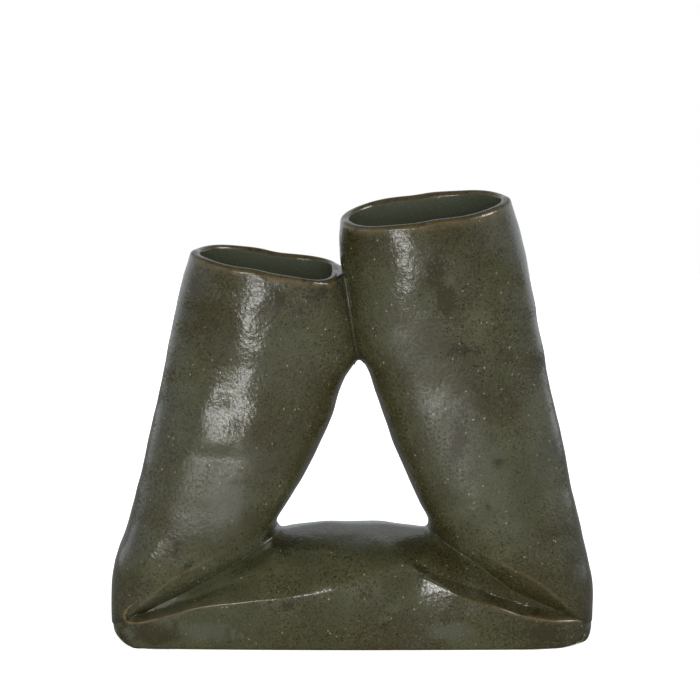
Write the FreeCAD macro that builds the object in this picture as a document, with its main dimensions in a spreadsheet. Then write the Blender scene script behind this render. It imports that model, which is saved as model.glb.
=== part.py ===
import FreeCAD, Part
import math
import os
import Sketcher

# A folded pillow vase in stoneware: one long soft tube, bent up at both ends
# into two leaning arms that touch at the neck and open in two oval mouths.
# It is split where the maker joins the clay: the base pillow on its floor
# slab, the two arms, and the layers of slip that lute them together.
#
# Frame: origin at the centre of the underside, +X to the right of the front,
# +Y away from the front, +Z up. All sizes are in millimetres.

Vector = FreeCAD.Vector

# name, value, meaning
SIZES = (
    ("base_length", 243.2, "longest reach of the base, left to right"),
    ("base_depth", 79.6, "depth of the base at its lip, at mid length"),
    ("crown_height", 57.5, "top of the base pillow at mid length"),
    ("lip_height", 30.5, "height of the front and back lip at mid length"),
    ("face_radius", 95.0, "bulge radius of the base's front and back face"),
    ("wall", 5.0, "thickness of the clay walls"),
    ("slab_thickness", 6.0, "thickness of the floor slab"),
    ("foot_trim", 1.0, "clay shaved off under the foot to make it flat"),
    ("slip_thickness", 0.8, "layer of slip in a joint"),
    ("bead_reach", 0.6, "how far squeezed-out slip stands from a joint"),
    ("rim_radius", 1.9, "rounding of the mouth rims"),
    ("fold_depth", 67.0, "depth of the arms at their folds, where they are deepest"),
    ("belly_depth", 69.0, "depth of the arms at their bellies"),
    ("neck_depth", 55.0, "depth of the arms where they lean together"),
    ("neck_press", 3.6, "how far each arm is pressed flat against the other"),
    ("seam_low_x", 3.1, "neck seam, low end right of the middle"),
    ("seam_low_z", 140.0, "neck seam, height of its low end"),
    ("fold_outer_z", 9.0, "folds, height of their outer ends"),
    ("left_fold_inner_x", 37.4, "left fold, inner end from the middle"),
    ("left_fold_inner_z", 55.4, "left fold, height of its inner end"),
    ("left_rim_outer_x", 80.7, "left mouth, outer end from the middle"),
    ("left_rim_outer_z", 195.0, "left mouth, height of its outer end"),
    ("left_rim_inner_x", -5.5, "left mouth, inner end from the middle"),
    ("left_rim_inner_z", 186.3, "left mouth, height of its inner end"),
    ("left_rim_depth", 58.0, "left mouth, front to back"),
    ("left_heel", 3.2, "swell of the left arm above its fold"),
    ("left_tuck", 5.0, "how far the base's left end is tucked in at the floor"),
    ("right_fold_inner_x", 37.6, "right fold, inner end from the middle"),
    ("right_fold_inner_z", 55.8, "right fold, height of its inner end"),
    ("right_rim_outer_x", 79.6, "right mouth, outer end from the middle"),
    ("right_rim_outer_z", 222.8, "right mouth, height of its outer end"),
    ("right_rim_inner_x", -6.3, "right mouth, inner end from the middle"),
    ("right_rim_inner_z", 211.3, "right mouth, height of its inner end"),
    ("right_rim_depth", 62.0, "right mouth, front to back"),
    ("right_heel", 2.0, "swell of the right arm above its fold"),
    ("right_tuck", 1.9, "how far the base's right end is tucked in at the floor"),
    ("cut_margin", 30.0, "how far a trimming cut runs past the clay"),
)

# The outline of an arm's section at its fold and at its mouth. The face's radius is a
# share of an ellipse's at its flattest. The end and corner radii are shares of the round
# end that would meet the face by itself, and the deepest point of half the width.
OUTLINE_NAMES = ("outer_end", "outer_corner", "face", "inner_corner", "inner_end", "deepest")
FOLD_OUTLINE_SHARES = (2.00, 0.36, 1.60, 0.80, 1.15, 0.30)
MOUTH_OUTLINE_SHARES = (1.15, 0.75, 1.20, 0.75, 1.15, 0.0)

# The arms' stations from the fold at 0 to the rim at 1. The heel swells the outer
# edge, and the lean bends the inner edge towards the neck seam, as far as it bends at
# the first station on the seam. The slant is how much wider the wall is along a
# station's plane than straight through it.
ARM_STATION_SHARES = (0.0, 0.12, 0.27, 0.45, 0.64, 0.83, 1.0)
ARM_HEEL_SHARES = (0.0, 1.0, 0.40, 0.10, 0.16, 0.38, 0.0)
ARM_LEAN_SHARES = {
    "left": (0.0, 0.15, 0.45, 0.70),
    "right": (0.0, 0.10, 0.34, 0.56),
}
ARM_PRESS_SHARES = {
    "left": (0.0, 0.0, 0.0, 0.0, -0.35, 0.92, 0.0),
    "right": (0.0, 0.0, 0.0, 0.0, 1.0, 0.50, 0.0),
}
WALL_SLANT_SHARES = (1.45, 1.30, 1.15, 1.08, 1.05, 1.03, 1.03)
SEAM_STATIONS = (4, 5)
SEAM_CUT_SHARE = 1.5
SEAM_DEPTH_SHARE = 0.95
RIM_EDGE_SHARE = 0.1

# Depth of the arms at each station: from one named depth to another, by a share.
ARM_DEPTH_SHARES = (
    ("fold_depth", "belly_depth", 0.0),
    ("fold_depth", "belly_depth", 0.9),
    ("belly_depth", "neck_depth", 0.0),
    ("belly_depth", "neck_depth", 0.45),
    ("neck_depth", "rim_depth", 0.0),
    ("neck_depth", "rim_depth", 0.35),
    ("neck_depth", "rim_depth", 1.0),
)

# The base at stations along its length: place as a share of half the length, foot and
# lip as shares of half the depth, then the lip and the crown as shares of their heights.
BASE_SHARES = (
    (-1.030, 0.830, 0.840, 0.420, 0.240),
    (-0.905, 0.880, 0.910, 0.490, 0.295),
    (-0.860, 0.900, 0.925, 0.530, 0.520),
    (-0.790, 0.920, 0.940, 0.575, 0.790),
    (-0.690, 0.928, 0.955, 0.650, 0.950),
    (-0.550, 0.935, 0.965, 0.760, 0.965),
    (-0.308, 0.945, 0.985, 0.880, 0.960),
    (0.000, 0.960, 1.000, 1.000, 1.000),
    (0.308, 0.945, 0.985, 1.000, 0.960),
    (0.550, 0.935, 0.965, 0.900, 0.965),
    (0.690, 0.928, 0.955, 0.740, 0.950),
    (0.790, 0.915, 0.940, 0.560, 0.790),
    (0.860, 0.890, 0.920, 0.500, 0.520),
    (0.905, 0.870, 0.905, 0.475, 0.295),
    (1.030, 0.820, 0.835, 0.420, 0.240),
)

# The base's outline from above at the floor and from the folds' outer ends upwards, as
# shares of half the depth: the radii of the left end, the left corners, the long sides,
# the right corners and the right end.
PLAN_FOOT_SHARES = (2.50, 0.16, 25.0, 0.55, 1.75)
PLAN_WAIST_SHARES = (1.75, 0.28, 25.0, 0.42, 1.75)
PLAN_DEPTH_SHARE = 1.03
FOLD_CUT_SHARE = 1.4

doc = FreeCAD.newDocument("PillowVase")


def fill_sheet():
    """Writes the driving dimensions into a spreadsheet, one alias a row."""
    sheet = doc.addObject("Spreadsheet::Sheet", "Sizes")
    for row, (name, value, meaning) in enumerate(SIZES, start=1):
        sheet.set(f"A{row}", name)
        sheet.set(f"B{row}", str(value))
        sheet.set(f"C{row}", meaning)
        sheet.setAlias(f"B{row}", name)
    doc.recompute()
    return sheet


sizes = fill_sheet()
derived = doc.addObject("Spreadsheet::Sheet", "Derived")
derived_names = []


def cell(name):
    return f"Sizes.{name}"


# A length of nothing, as a formula.
NOTHING = "0"


def derive(name, formula):
    """Keeps a value that is worked out from the driving dimensions in a sheet of its own."""
    derived_names.append(name)
    row = len(derived_names)
    derived.set(f"A{row}", name)
    derived.set(f"B{row}", f"={formula}")
    derived.setAlias(f"B{row}", name)
    return f"Derived.{name}"


def value_of(formula):
    """What a formula of the sheets' cells comes to, to draw a sketch at its true shape."""
    return float(sizes.evalExpression(formula))


def between(first, second, share):
    return f"({first} + ({second} - {first}) * {share})"


def along(first, second, share):
    """The point (x, z) at a share of the way from one point to another."""
    (x1, z1), (x2, z2) = first, second
    return between(f"({x1})", f"({x2})", share), between(f"({z1})", f"({z2})", share)


def lifted(first, second, lift):
    """Two points (x, z) moved up, square to the line from the first to the second."""
    (x1, z1), (x2, z2) = first, second
    run, rise = f"({x2} - ({x1}))", f"({z2} - ({z1}))"
    length = f"sqrt(pow({run}; 2) + pow({rise}; 2))"
    dx, dz = f"{rise} / {length} * ({lift})", f"{run} / {length} * ({lift})"
    return (f"({x1} - {dx})", f"({z1} + {dz})"), (f"({x2} - {dx})", f"({z2} + {dz})")


def new_body(name):
    body = doc.addObject("PartDesign::Body", name)
    body.Label = name
    return body


def new_sketch(body, name, role):
    """A sketch on one of the body's own origin planes."""
    sketch = body.newObject("Sketcher::SketchObject", name)
    plane = next(f for f in body.Origin.OriginFeatures if f.Role == role)
    sketch.AttachmentSupport = [(plane, "")]
    sketch.MapMode = "FlatFace"
    return sketch


def raise_sketch(sketch, height):
    """Moves a sketch along its plane's normal, by a formula."""
    sketch.AttachmentOffset = FreeCAD.Placement(Vector(0, 0, 1), FreeCAD.Rotation())
    sketch.setExpression("AttachmentOffset.Base.z", height)


def tilt_sketch(sketch, first, second):
    """Lays a level sketch in the plane through two points (x, z) and the Y axis. Its
    origin is midway between them, and its X axis runs from the first to the second."""
    (x1, z1), (x2, z2) = first, second
    turned = FreeCAD.Rotation(Vector(0, 1, 0), 1)
    sketch.AttachmentOffset = FreeCAD.Placement(Vector(0, 0, 0), turned)
    sketch.setExpression("AttachmentOffset.Base.x", f"({x1} + {x2}) / 2")
    sketch.setExpression("AttachmentOffset.Base.z", f"({z1} + {z2}) / 2")
    angle = f"-atan2({z2} - ({z1}); {x2} - ({x1}))"
    sketch.setExpression("AttachmentOffset.Rotation.Angle", angle)


def half_gap(first, second):
    """Half the distance between two points (x, z)."""
    (x1, z1), (x2, z2) = first, second
    return f"(sqrt(pow({x2} - ({x1}); 2) + pow({z2} - ({z1}); 2)) / 2)"


def bind(sketch, kind, *where, formula):
    """Adds a driving constraint whose value follows a formula of the sheet."""
    index = sketch.addConstraint(Sketcher.Constraint(kind, *where, value_of(formula)))
    sketch.setExpression(f"Constraints[{index}]", formula)


def bind_point(sketch, geometry, end, x, y):
    """Pins a point of a sketch by two formulas, measured from the sketch's origin."""
    bind(sketch, "DistanceX", -1, 1, geometry, end, formula=x)
    bind(sketch, "DistanceY", -1, 1, geometry, end, formula=y)


def add_arc(sketch, centre, radius, start, end):
    """Adds an arc that runs anticlockwise from one angle to another."""
    circle = Part.Circle(centre, Vector(0, 0, 1), radius)
    return sketch.addGeometry(Part.ArcOfCircle(circle, start, end), False)


def direction(origin, target):
    return math.atan2(target.y - origin.y, target.x - origin.x)


def corner_centre(end, end_radius, face, face_radius, radius, sign):
    """The centre of the arc that rounds the corner between an end arc and a face arc."""
    to_end, to_face = end_radius - radius, face_radius - radius
    way = face - end
    forward = (to_end**2 - to_face**2 + way.Length**2) / (2 * way.Length)
    sideways = math.sqrt(to_end**2 - forward**2)
    unit = way.normalize()
    across = Vector(-unit.y, unit.x, 0) * sideways
    foot = end + unit * forward
    return max(foot + across, foot - across, key=lambda point: sign * point.x)


def draw_cushion(sketch, left, right, half_depth, deepest, radii):
    """Draws a closed outline of four shallow arcs and four rounded corners, the same in
    front as behind. All is given as formulas: the places of its two ends, half its depth,
    the place of its deepest points, and the radii of the left end, the left corners, the
    long faces, the right corners and the right end."""
    x_left, x_right, depth, x_deep = (value_of(v) for v in (left, right, half_depth, deepest))
    r_left, r_left_corner, r_face, r_right_corner, r_right = (value_of(v) for v in radii)
    left_centre, right_centre = Vector(x_left + r_left, 0, 0), Vector(x_right - r_right, 0, 0)
    back = Vector(x_deep, depth - r_face, 0)
    back_left = corner_centre(left_centre, r_left, back, r_face, r_left_corner, -1)
    back_right = corner_centre(right_centre, r_right, back, r_face, r_right_corner, 1)

    def mirrored(point):
        return Vector(point.x, -point.y, 0)

    at_right, at_left = direction(right_centre, back_right), direction(left_centre, back_left)
    on_right, on_left = direction(back, back_right), direction(back, back_left)
    turn = 2 * math.pi
    arcs = (
        (right_centre, r_right, -at_right, at_right),
        (back_right, r_right_corner, at_right, on_right),
        (back, r_face, on_right, on_left),
        (back_left, r_left_corner, on_left, at_left),
        (left_centre, r_left, at_left, turn - at_left),
        (mirrored(back_left), r_left_corner, turn - at_left, turn - on_left),
        (mirrored(back), r_face, turn - on_left, turn - on_right),
        (mirrored(back_right), r_right_corner, turn - on_right, turn - at_right),
    )
    edges = [add_arc(sketch, *arc) for arc in arcs]
    for edge, following in zip(edges, edges[1:] + edges[:1]):
        sketch.addConstraint(Sketcher.Constraint("Tangent", edge, 2, following, 1))
    right_end, _, back_face, _, left_end, _, front_face, _ = edges
    left_end_radius, left_corner, face, right_corner, right_end_radius = radii
    bind_point(sketch, left_end, 3, f"{left} + {left_end_radius}", NOTHING)
    bind_point(sketch, right_end, 3, f"{right} - {right_end_radius}", NOTHING)
    bind_point(sketch, back_face, 3, deepest, f"{half_depth} - {face}")
    bind_point(sketch, front_face, 3, deepest, f"{face} - {half_depth}")
    back_half = (right_corner, face, left_corner)
    in_turn = (right_end_radius, *back_half, left_end_radius, *reversed(back_half))
    for edge, radius in zip(edges, in_turn):
        bind(sketch, "Radius", edge, formula=radius)


def draw_polygon(sketch, corners):
    """Draws a closed polygon through corners given as formulas."""
    points = [Vector(value_of(x), value_of(y), 0) for x, y in corners]
    for start, end in zip(points, points[1:] + points[:1]):
        sketch.addGeometry(Part.LineSegment(start, end), False)
    for index, (x, y) in enumerate(corners):
        following = (index + 1) % len(corners)
        sketch.addConstraint(Sketcher.Constraint("Coincident", index, 2, following, 1))
        bind_point(sketch, index, 1, x, y)


def draw_dome(sketch, foot, lip, lip_rise, crown_rise):
    """Draws a section across the base: a flat foot, two bulging faces up to the lips, and an
    arc over the crown. Foot and lip are half-depths, and the rises are heights."""
    arch = f"({crown_rise} - {lip_rise})"
    over = f"((pow({lip}; 2) + pow({arch}; 2)) / (2 * {arch}))"
    face_radius, crown_radius = value_of(cell("face_radius")), value_of(over)
    floor = f"(-{cell('foot_trim')})"
    foot_point = Vector(value_of(foot), value_of(floor), 0)
    lip_point = Vector(value_of(lip), value_of(lip_rise), 0)
    crown_centre = Vector(0, value_of(crown_rise) - crown_radius, 0)
    chord = lip_point - foot_point
    inward = Vector(-chord.y, chord.x, 0).normalize()
    sink = math.sqrt(face_radius**2 - (chord.Length / 2) ** 2)
    face_centre = (foot_point + lip_point) / 2 + inward * sink

    def mirrored(point):
        return Vector(-point.x, point.y, 0)

    low, high = direction(face_centre, foot_point), direction(face_centre, lip_point)
    shoulder = direction(crown_centre, lip_point)
    half_turn = math.pi
    floor_line = sketch.addGeometry(Part.LineSegment(mirrored(foot_point), foot_point), False)
    right_face = add_arc(sketch, face_centre, face_radius, low, high)
    crown = add_arc(sketch, crown_centre, crown_radius, shoulder, half_turn - shoulder)
    left_face = add_arc(sketch, mirrored(face_centre), face_radius, half_turn - high, half_turn - low)
    edges = (floor_line, right_face, crown, left_face)
    for edge, following in zip(edges, edges[1:] + edges[:1]):
        sketch.addConstraint(Sketcher.Constraint("Coincident", edge, 2, following, 1))
    bind_point(sketch, floor_line, 1, f"-{foot}", floor)
    bind_point(sketch, floor_line, 2, foot, floor)
    bind_point(sketch, crown, 1, lip, lip_rise)
    bind_point(sketch, crown, 2, f"-{lip}", lip_rise)
    bind(sketch, "Radius", right_face, formula=cell("face_radius"))
    sketch.addConstraint(Sketcher.Constraint("Equal", right_face, left_face))
    bind(sketch, "Radius", crown, formula=over)


def loft(body, kind, name, sketches, ruled=False):
    """Adds or takes away the form through a body's sketches."""
    feature = body.newObject(f"PartDesign::{kind}Loft", name)
    feature.Profile = sketches[0]
    feature.Sections = sketches[1:]
    feature.Ruled = ruled
    return feature


def cut_through(body, name, corners):
    """Cuts a polygon of the front view right through a body. Corners are formulas (x, z)."""
    sketch = new_sketch(body, f"{name}_outline", "XZ_Plane")
    draw_polygon(sketch, corners)
    pocket = body.newObject("PartDesign::Pocket", name)
    pocket.Profile = sketch
    pocket.Type = "ThroughAll"
    pocket.Midplane = True
    return pocket


def round_edges(body, name, radius, chosen):
    """Rounds the edges of a body's last feature that a test picks out."""
    doc.recompute()
    base = body.Tip
    edges = [f"Edge{i}" for i, edge in enumerate(base.Shape.Edges, start=1) if chosen(edge)]
    fillet = body.newObject("PartDesign::Fillet", name)
    fillet.Base = (base, edges)
    fillet.setExpression("Radius", radius)
    return fillet


def combine(kind, name, first, second):
    """A Part::Cut or Part::Common of two objects."""
    result = doc.addObject(f"Part::{kind}", name)
    result.Base = first
    result.Tool = second
    result.Label = name
    return result


def seam_ends():
    """The neck seam's top end, at the left mouth's inner end, and its low end."""
    top = (cell("left_rim_inner_x"), cell("left_rim_inner_z"))
    return top, (cell("seam_low_x"), cell("seam_low_z"))


def seam_x(z):
    """How far to the right the neck seam lies at a height."""
    (top_x, top_z), (low_x, low_z) = seam_ends()
    return f"({low_x} + ({z} - {low_z}) * ({top_x} - {low_x}) / ({top_z} - {low_z}))"


def outward(side):
    """The left arm's outer side is at -X, the right arm's at +X."""
    return {"left": -1, "right": 1}[side]


def inner_line(side, share):
    """The point (x, z) on the straight line from a fold's inner end to its arm's mouth."""
    fold_x = f"({cell(side + '_fold_inner_x')} * {outward(side)})"
    x = between(fold_x, cell(f"{side}_rim_inner_x"), share)
    z = between(cell(f"{side}_fold_inner_z"), cell(f"{side}_rim_inner_z"), share)
    return x, z


def arm_edges(side, station):
    """An arm's outer and inner edge (x, z) at a station, in the middle plane."""
    sign = outward(side)
    share = ARM_STATION_SHARES[station]
    outer_x = between(f"({cell('base_length')} / 2)", cell(f"{side}_rim_outer_x"), share)
    outer_x = f"({outer_x} + {cell(side + '_heel')} * {ARM_HEEL_SHARES[station]}) * {sign}"
    outer_z = between(cell("fold_outer_z"), cell(f"{side}_rim_outer_z"), share)
    inner_x, inner_z = inner_line(side, share)
    press = f"{cell('neck_press')} * {-sign}"
    if station in SEAM_STATIONS:
        inner_x = f"({seam_x(inner_z)} + {press} * {ARM_PRESS_SHARES[side][station]})"
    elif station < SEAM_STATIONS[0]:
        neck = SEAM_STATIONS[0]
        straight_x, neck_z = inner_line(side, ARM_STATION_SHARES[neck])
        lean = f"({seam_x(neck_z)} + {press} * {ARM_PRESS_SHARES[side][neck]} - {straight_x})"
        inner_x = f"({inner_x} + {lean} * {ARM_LEAN_SHARES[side][station]})"
    return (outer_x, outer_z), (inner_x, inner_z)


def derive_stations(side):
    """The ends (x, z) of an arm's sections, left one first, kept as derived values."""
    ends = []
    for station in range(len(ARM_STATION_SHARES)):
        edges = {}
        for edge, (x, z) in zip(("outer", "inner"), arm_edges(side, station)):
            name = f"{side}_{edge}_{station}"
            edges[edge] = (derive(f"{name}_x", x), derive(f"{name}_z", z))
        order = ("outer", "inner") if side == "left" else ("inner", "outer")
        ends.append(tuple(edges[edge] for edge in order))
    return ends


def round_end(half_width, half_depth, face, deepest):
    """The radius of the round end that meets a face arc by itself."""
    reach = f"({half_width} - {deepest})"
    top = f"(2 * {face} * {half_depth} - pow({half_depth}; 2) - pow({reach}; 2))"
    return f"({top} / (2 * ({face} - {reach})))"


def derive_outline(side, station, layer):
    """Half the width and depth of an arm's section, its shift from the middle of its ends,
    the place of its deepest point, and its radii from left to right. The hollow's are drawn
    in by the wall, and on the inner side by what the arm is pressed flat there."""
    sign = outward(side)

    def keep(name, formula):
        return derive(f"{side}_{layer}_{station}_{name}", formula)

    first, second, share = ARM_DEPTH_SHARES[station]
    names = [f"{side}_{n}" if n == "rim_depth" else n for n in (first, second)]
    half_depth = f"{between(cell(names[0]), cell(names[1]), share)} / 2"
    half_width, shift = half_gap(*arm_ends[side][station]), "0"
    if layer.endswith("hollow"):
        press = f"{cell('neck_press')} * {max(0.0, ARM_PRESS_SHARES[side][station])} / 2"
        half_width = f"{half_width} - {cell('wall')} * {WALL_SLANT_SHARES[station]} - {press}"
        half_depth = f"{half_depth} - {cell('wall')}"
        shift = f"{press} * {sign}"
    half_width, half_depth = keep("half_width", half_width), keep("half_depth", half_depth)
    shift = keep("shift", shift)
    share = ARM_STATION_SHARES[station]
    pairs = zip(OUTLINE_NAMES, FOLD_OUTLINE_SHARES, MOUTH_OUTLINE_SHARES)
    outline = {name: fold + (mouth - fold) * share for name, fold, mouth in pairs}
    face = keep("face", f"pow({half_width}; 2) / {half_depth} * {outline['face']}")
    deepest = f"{half_width} * {outline['deepest']}"
    outer = keep("outer_round", round_end(half_width, half_depth, face, f"({deepest})"))
    inner = keep("inner_round", round_end(half_width, half_depth, face, f"(-{deepest})"))
    radii = [
        f"({outer} * {outline['outer_end']})",
        f"({outer} * {outline['outer_corner']})",
        face,
        f"({inner} * {outline['inner_corner']})",
        f"({inner} * {outline['inner_end']})",
    ]
    if side == "right":
        radii.reverse()
    place = keep("deepest", f"{deepest} * {sign} + {shift}")
    return f"({shift} - {half_width})", f"({shift} + {half_width})", half_depth, place, radii


def arm_sections(body, side, layer):
    """The sections of an arm's skin or hollow, from its fold to its rim."""
    stations = range(len(ARM_STATION_SHARES))
    outlines = [derive_outline(side, station, layer) for station in stations]
    derived.recompute()
    sections = []
    for station, outline in zip(stations, outlines):
        first, second = arm_ends[side][station]
        if station == 0:
            first, second = lifted(first, second, f"{cell('slip_thickness')} / 2")
        sketch = new_sketch(body, f"{side}_{layer}_{station}", "XY_Plane")
        tilt_sketch(sketch, first, second)
        draw_cushion(sketch, *outline)
        sections.append(sketch)
    return sections


def make_arm(side):
    """One arm: a soft tube from its fold to its mouth, cut flat along the neck seam."""
    body = new_body(f"{side}_arm")
    loft(body, "Additive", f"{side}_form", arm_sections(body, side, "skin"))
    loft(body, "Subtractive", f"{side}_bore", arm_sections(body, side, "hollow"))
    ends = [Vector(value_of(x), 0, value_of(z)) for x, z in arm_ends[side][-1]]
    rim_normal = Vector(0, 1, 0).cross(ends[1] - ends[0]).normalize()
    closeness = value_of(cell("rim_radius")) * RIM_EDGE_SHARE

    def on_rim(edge):
        middle = edge.valueAt((edge.FirstParameter + edge.LastParameter) / 2)
        points = [vertex.Point for vertex in edge.Vertexes] + [middle]
        return all(abs((point - ends[0]).dot(rim_normal)) < closeness for point in points)

    round_edges(body, f"{side}_rim", cell("rim_radius"), on_rim)
    lift = f"{cell('slip_thickness')} / 2 * {outward(side)}"
    top, low = lifted(*seam_ends(), lift)
    # The cut runs on past both ends of the touching stretch.
    high, deep = along(low, top, SEAM_CUT_SHARE), along(top, low, SEAM_CUT_SHARE)
    away = f"{cell('cut_margin')} * {-outward(side)}"
    beside = [(f"{x} + {away}", z) for x, z in (deep, high)]
    cut_through(body, f"{side}_seam_cut", (high, deep, *beside))
    return body


def grown(outline, left_by, right_by, by):
    """An outline moved outwards: its left end, its right end and the rest."""
    left, right, half_depth, deepest, radii = outline
    radii = [f"({radius} + {by})" for radius in radii]
    return f"({left} - {left_by})", f"({right} + {right_by})", f"({half_depth} + {by})", deepest, radii


def slip_layer(name, first, second, outlines):
    """A layer of slip, half on each side of the plane through two points (x, z)."""
    body = new_body(name)
    sketch = new_sketch(body, f"{name}_outline", "XY_Plane")
    tilt_sketch(sketch, first, second)
    for outline in outlines:
        draw_cushion(sketch, *outline)
    layer = body.newObject("PartDesign::Pad", f"{name}_layer")
    layer.Profile = sketch
    layer.Midplane = True
    layer.setExpression("Length", cell("slip_thickness"))
    return body


def make_fold_slip(side):
    """The slip that lutes an arm to the base: a ring in the fold, with a bead in its crease."""
    skin = derive_outline(side, 0, "slip_skin")
    hollow = derive_outline(side, 0, "slip_hollow")
    derived.recompute()
    reach, recess = cell("bead_reach"), f"({cell('slip_thickness')} / 2)"
    # At the outer end the ring stays flush, because no crease shows there.
    ends = (NOTHING, reach) if side == "left" else (reach, NOTHING)
    outlines = (grown(skin, *ends, reach), grown(hollow, recess, recess, recess))
    return slip_layer(f"{side}_fold_slip", *arm_ends[side][0], outlines)


def make_neck_slip():
    """The slip between the two arms, where they are pressed together at the neck."""
    first, second = seam_ends()
    half_length = half_gap(first, second)
    reach = cell("bead_reach")
    half_depth = f"(sqrt({cell('neck_press')} * {cell('neck_depth')}) * {SEAM_DEPTH_SHARE})"
    half_depth = derive("neck_half_depth", f"{half_depth} + {reach}")
    left = derive("neck_left", f"{cell('rim_radius')} - {half_length}")
    right = derive("neck_right", f"{half_length} + {reach}")
    face = derive("neck_face", f"pow({half_length}; 2) / {half_depth} * {MOUTH_OUTLINE_SHARES[2]}")
    round_radius = derive("neck_round", round_end(half_length, half_depth, face, NOTHING))
    derived.recompute()
    end, corner = (f"({round_radius} * {share})" for share in MOUTH_OUTLINE_SHARES[:2])
    outline = (left, right, half_depth, NOTHING, (end, corner, face, corner, end))
    return slip_layer("neck_slip", first, second, (outline,))


def base_dome(name, inset):
    """A form through domed sections along the base, drawn inwards by the inset."""
    body = new_body(name)
    sections = []
    half_depth = f"{cell('base_depth')} / 2"
    for place, foot, lip, lip_rise, crown_rise in BASE_SHARES:
        sketch = new_sketch(body, f"{name}_{len(sections)}", "YZ_Plane")
        raise_sketch(sketch, f"{cell('base_length')} / 2 * {place}")
        foot, lip = (f"({half_depth} * {share} - {inset})" for share in (foot, lip))
        lip_rise = f"({cell('lip_height')} * {lip_rise} - {inset} / 2)"
        crown_rise = f"({cell('crown_height')} * {crown_rise} - {inset} / 2 * (1 + {crown_rise}))"
        draw_dome(sketch, foot, lip, lip_rise, crown_rise)
        sections.append(sketch)
    loft(body, "Additive", f"{name}_form", sections)
    return body


def base_plan(name, inset):
    """The base's outline from above, tucked in at the floor and upright over its waist."""
    body = new_body(name)
    tucks = (cell("left_tuck"), cell("right_tuck"))
    top = f"{cell('crown_height')} + {cell('cut_margin')}"
    levels = (
        (PLAN_FOOT_SHARES, f"-{cell('foot_trim')}", *tucks),
        (PLAN_WAIST_SHARES, cell("fold_outer_z"), NOTHING, NOTHING),
        (PLAN_WAIST_SHARES, top, NOTHING, NOTHING),
    )
    half_depth = f"({cell('base_depth')} / 2 * {PLAN_DEPTH_SHARE} - {inset})"
    reach = f"({cell('base_length')} / 2 - {inset})"
    sections = []
    for shares, level, left_tuck, right_tuck in levels:
        sketch = new_sketch(body, f"{name}_{len(sections)}", "XY_Plane")
        raise_sketch(sketch, level)
        radii = [f"({half_depth} * {share})" for share in shares]
        left, right = f"({left_tuck} - {reach})", f"({reach} - {right_tuck})"
        draw_cushion(sketch, left, right, half_depth, NOTHING, radii)
        sections.append(sketch)
    loft(body, "Additive", f"{name}_form", sections, ruled=True)
    return body


def make_block(name, low):
    """A block round the base, from a height up to the slab's top."""
    block = doc.addObject("Part::Box", name)
    margin = cell("cut_margin")
    block.setExpression("Length", f"{cell('base_length')} + 2 * {margin}")
    block.setExpression("Width", f"{cell('base_depth')} + 2 * {margin}")
    block.setExpression("Height", f"{cell('slab_thickness')} - ({low})")
    block.setExpression("Placement.Base.x", f"-{cell('base_length')} / 2 - {margin}")
    block.setExpression("Placement.Base.y", f"-{cell('base_depth')} / 2 - {margin}")
    block.setExpression("Placement.Base.z", low)
    return block


def make_base():
    """The base pillow and its floor slab, out of one form."""
    dome = base_dome("base_dome", NOTHING)
    top = f"{cell('crown_height')} + {cell('cut_margin')}"
    for side in ("left", "right"):
        first, second = lifted(*arm_ends[side][0], f"-{cell('slip_thickness')} / 2")
        # Each cut starts at the fold's inner end and runs out past the end of the base.
        inner, outer = (second, first) if side == "left" else (first, second)
        outer = along(inner, outer, FOLD_CUT_SHARE)
        cut_through(dome, f"{side}_fold_cut", (outer, inner, (inner[0], top), (outer[0], top)))
    form = combine("Common", "base_form", dome, base_plan("base_outline", NOTHING))
    hollow_dome = base_dome("hollow_dome", cell("wall"))
    hollow = combine("Common", "base_hollow", hollow_dome, base_plan("hollow_outline", cell("wall")))
    slab = combine("Common", "floor_slab", form, make_block("slab_block", NOTHING))
    below = make_block("below_slab_top", f"-{cell('cut_margin')}")
    above = combine("Cut", "base_above_slab", form, below)
    return combine("Cut", "base_pillow", above, hollow), slab


def write_parts(parts):
    """Checks every object and every sub-part, and then writes the sub-parts."""
    doc.recompute()
    failed = [o.Name for o in doc.Objects if "Invalid" in o.State or "Error" in o.State]
    if failed:
        raise RuntimeError(f"objects that failed: {failed}")
    for part in parts:
        shape = part.Shape
        print(part.Label, shape.isValid(), len(shape.Solids), round(shape.Volume), len(shape.Faces))
        if shape.isNull() or not shape.isValid():
            raise RuntimeError(f"{part.Label} has no valid shape")
    os.makedirs("parts", exist_ok=True)
    for part in parts:
        part.Shape.exportStep(f"parts/{part.Label}.step")


arm_ends = {side: derive_stations(side) for side in ("left", "right")}
derived.recompute()
pillow, slab = make_base()
arms = [make_arm(side) for side in ("left", "right")]
fold_slips = [make_fold_slip(side) for side in ("left", "right")]
write_parts([pillow, slab, *arms, *fold_slips, make_neck_slip()])
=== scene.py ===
import math

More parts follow.
